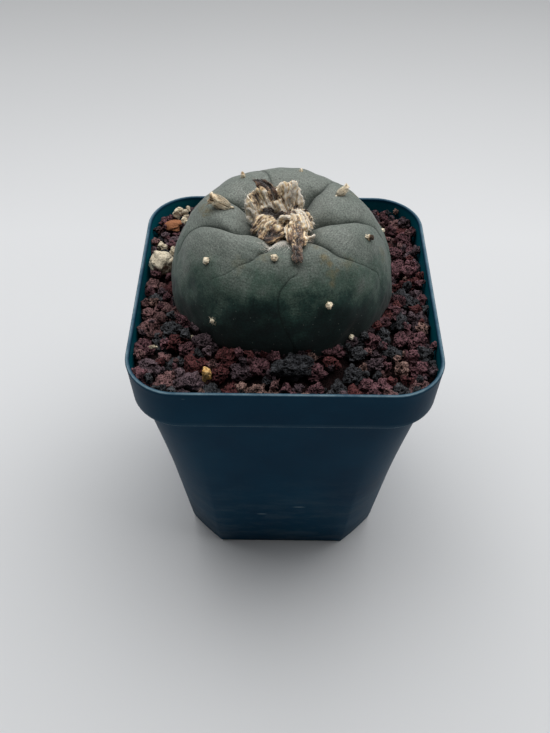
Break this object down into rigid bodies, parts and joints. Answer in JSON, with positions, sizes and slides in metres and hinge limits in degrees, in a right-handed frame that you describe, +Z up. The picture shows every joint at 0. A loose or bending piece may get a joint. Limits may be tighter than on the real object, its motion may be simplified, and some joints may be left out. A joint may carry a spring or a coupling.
{
  "type": "potted button cactus",
  "caption": "Flat-topped ribbed button cactus with a woolly crown, rooted in lava grit in a square tapered nursery pot with a skirted rim.",
  "frame": {"origin": "on the ground, under the middle of the pot's foot", "axes": "+Z up, -Y towards the front of the plant, +X to the right seen from the front"},
  "size_m": [0.089, 0.089, 0.1294],
  "materials": {
    "pot": "moulded, semi-matt, with a soft sheen",
    "cactus_skin": null,
    "dry_wool": "dry plant wool and withered petals",
    "red_lava": "rough lava full of pores",
    "black_lava": "rough lava full of pores",
    "purple_lava": "rough lava full of pores",
    "pink_lava": "rough lava full of pores",
    "pumice": "rough, chalky",
    "bark": "dry bark",
    "yellow_chip": "rough, with worn edges"
  },
  "bodies": {
    "root": {"pot": "pot", "cactus_body": "cactus_skin", "crown_wool": "dry_wool", "lava_grit": "red_lava", "black_lava_01": "black_lava", "black_lava_02": "black_lava", "black_lava_03": "black_lava", "black_lava_04": "black_lava", "black_lava_05": "black_lava", "purple_lava_01": "purple_lava", "purple_lava_02": "purple_lava", "purple_lava_03": "purple_lava", "purple_lava_04": "purple_lava", "red_lava_01": "red_lava", "red_lava_02": "red_lava", "red_lava_03": "red_lava", "red_lava_04": "red_lava", "red_lava_05": "red_lava", "red_lava_06": "red_lava", "red_lava_07": "red_lava", "pink_lava_01": "pink_lava", "pink_lava_02": "pink_lava", "pink_lava_03": "pink_lava", "pink_lava_04": "pink_lava", "pumice_01": "pumice", "pumice_02": "pumice", "pumice_03": "pumice", "pumice_04": "pumice", "bark_chip": "bark", "yellow_chip": "yellow_chip"}
  },
  "joints": []
}
